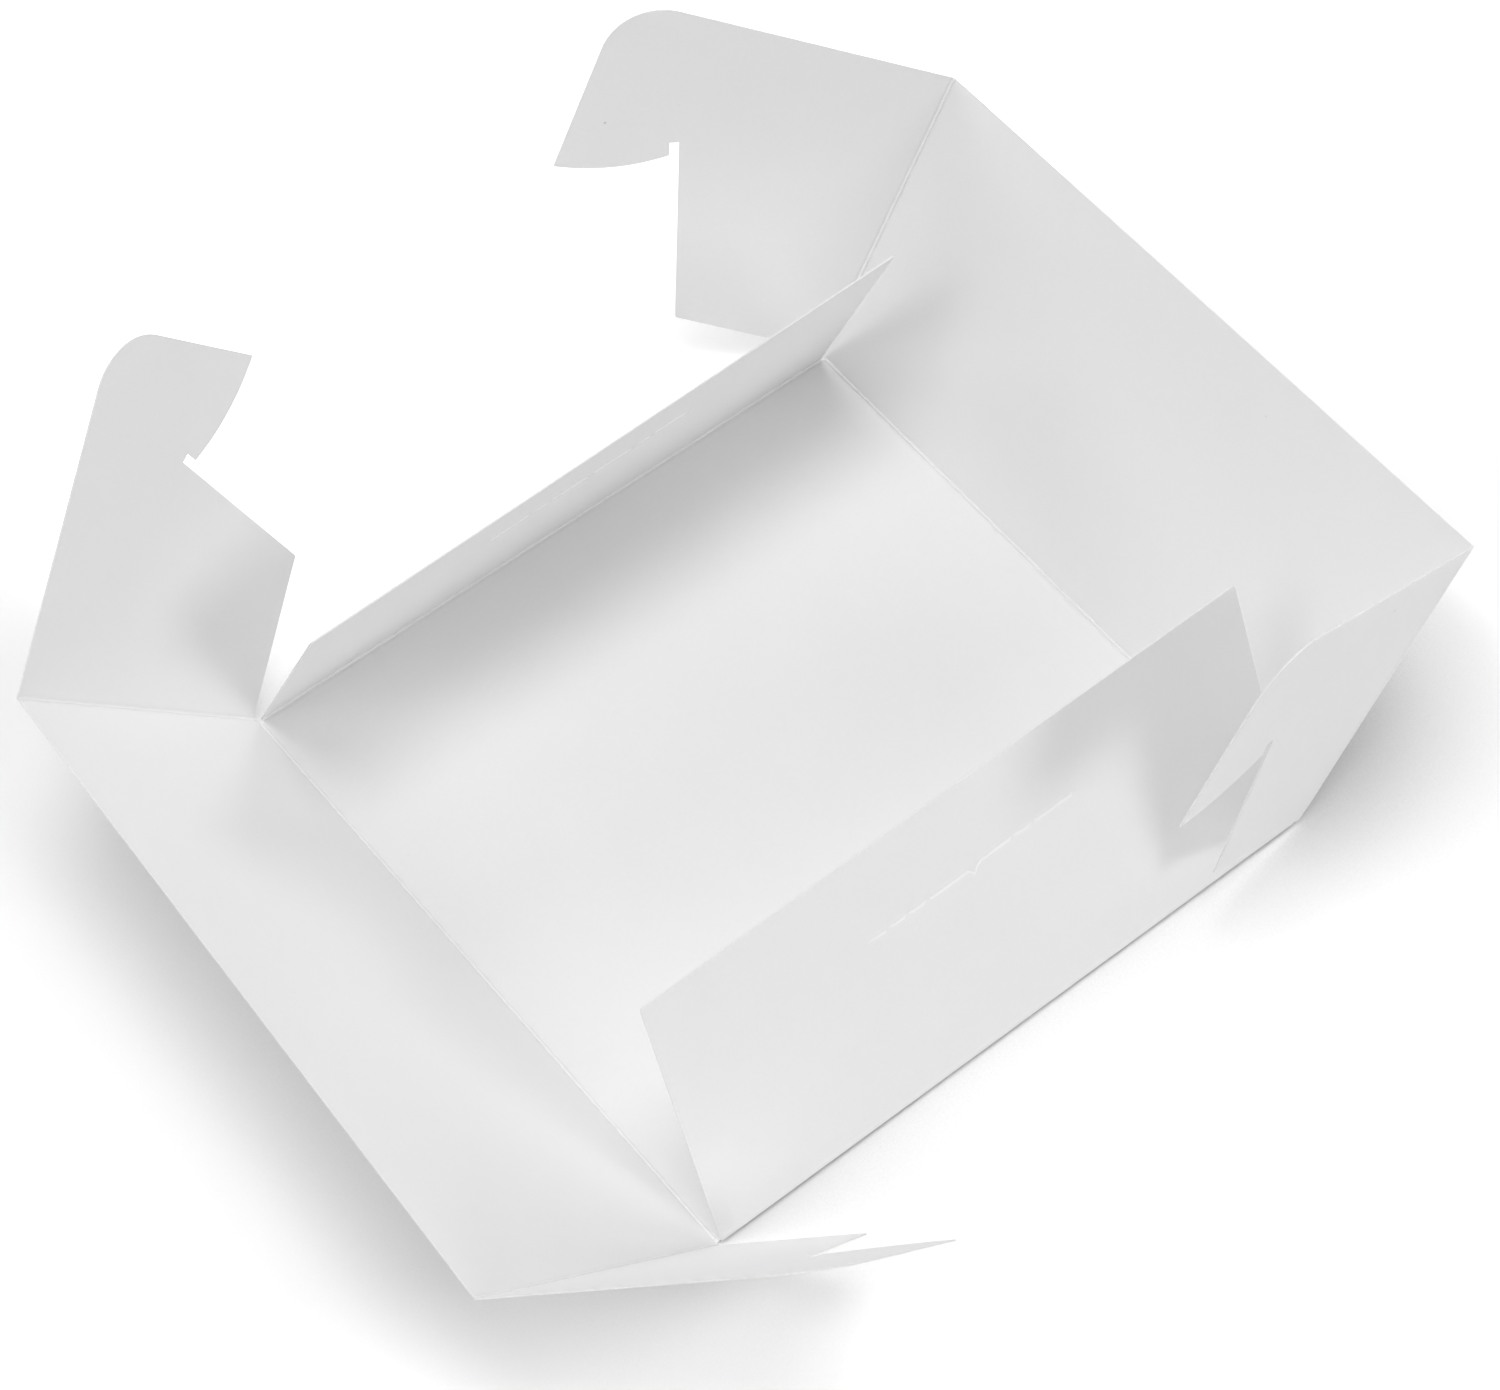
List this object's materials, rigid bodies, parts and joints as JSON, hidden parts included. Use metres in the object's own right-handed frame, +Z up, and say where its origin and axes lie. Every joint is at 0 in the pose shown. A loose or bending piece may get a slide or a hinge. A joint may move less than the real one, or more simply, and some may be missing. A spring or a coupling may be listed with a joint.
{
  "type": "cake box",
  "caption": "Open cake box tray of folded white board; hooked wings on the side walls wrap round the end walls and lock into their slits.",
  "frame": {"origin": "middle of the base's underside", "axes": "+Z up, +X from the left wall to the right wall, +Y from the front wall to the back wall"},
  "size_m": [0.4016, 0.4071, 0.1612],
  "materials": {
    "board": "matte",
    "crease": "matte"
  },
  "bodies": {
    "base": {"base_panel": "board", "front_crease": "crease", "back_crease": "crease", "left_crease": "crease", "right_crease": "crease"},
    "left_wall": {"left_wall": "board", "left_front_wing_crease": "crease", "left_back_wing_crease": "crease"},
    "right_wall": {"right_wall": "board", "right_front_wing_crease": "crease", "right_back_wing_crease": "crease"},
    "front_wall": {"front_wall": "board"},
    "back_wall": {"back_wall": "board"},
    "left_front_wing": {"left_front_wing": "board"},
    "left_back_wing": {"left_back_wing": "board"},
    "right_front_wing": {"right_front_wing": "board"},
    "right_back_wing": {"right_back_wing": "board"}
  },
  "joints": [
    {"name": "left_wall_fold", "type": "hinge", "parent": "base", "child": "left_wall", "pos_m": [-0.127, 0, 0.00065], "axis": [0, 1, 0], "range_deg": [-42.8, 42]},
    {"name": "right_wall_fold", "type": "hinge", "parent": "base", "child": "right_wall", "pos_m": [0.127, 0, 0.00065], "axis": [0, -1, 0], "range_deg": [-61, 26.2]},
    {"name": "front_wall_fold", "type": "hinge", "parent": "base", "child": "front_wall", "pos_m": [0, -0.127, 0.00065], "axis": [1, 0, 0], "range_deg": [-64.5, 22.7]},
    {"name": "back_wall_fold", "type": "hinge", "parent": "base", "child": "back_wall", "pos_m": [0, 0.127, 0.00065], "axis": [-1, 0, 0], "range_deg": [-66.1, 20.7]},
    {"name": "left_back_wing_fold", "type": "hinge", "parent": "left_wall", "child": "left_back_wing", "pos_m": [-0.127, 0.1278, 0.00065], "axis": [0.6972, 0, -0.7169], "range_deg": [-64.3, 25.7]},
    {"name": "left_front_wing_fold", "type": "hinge", "parent": "left_wall", "child": "left_front_wing", "pos_m": [-0.127, -0.1278, 0.00065], "axis": [-0.6972, 0, 0.7169], "range_deg": [-49.2, 40.8]},
    {"name": "right_front_wing_fold", "type": "hinge", "parent": "right_wall", "child": "right_front_wing", "pos_m": [0.127, -0.1278, 0.00065], "axis": [-0.4571, 0, -0.8894], "range_deg": [-82.4, 7.6]},
    {"name": "right_back_wing_fold", "type": "hinge", "parent": "right_wall", "child": "right_back_wing", "pos_m": [0.127, 0.1278, 0.00065], "axis": [0.4571, 0, 0.8894], "range_deg": [-55.6, 34.4]}
  ]
}
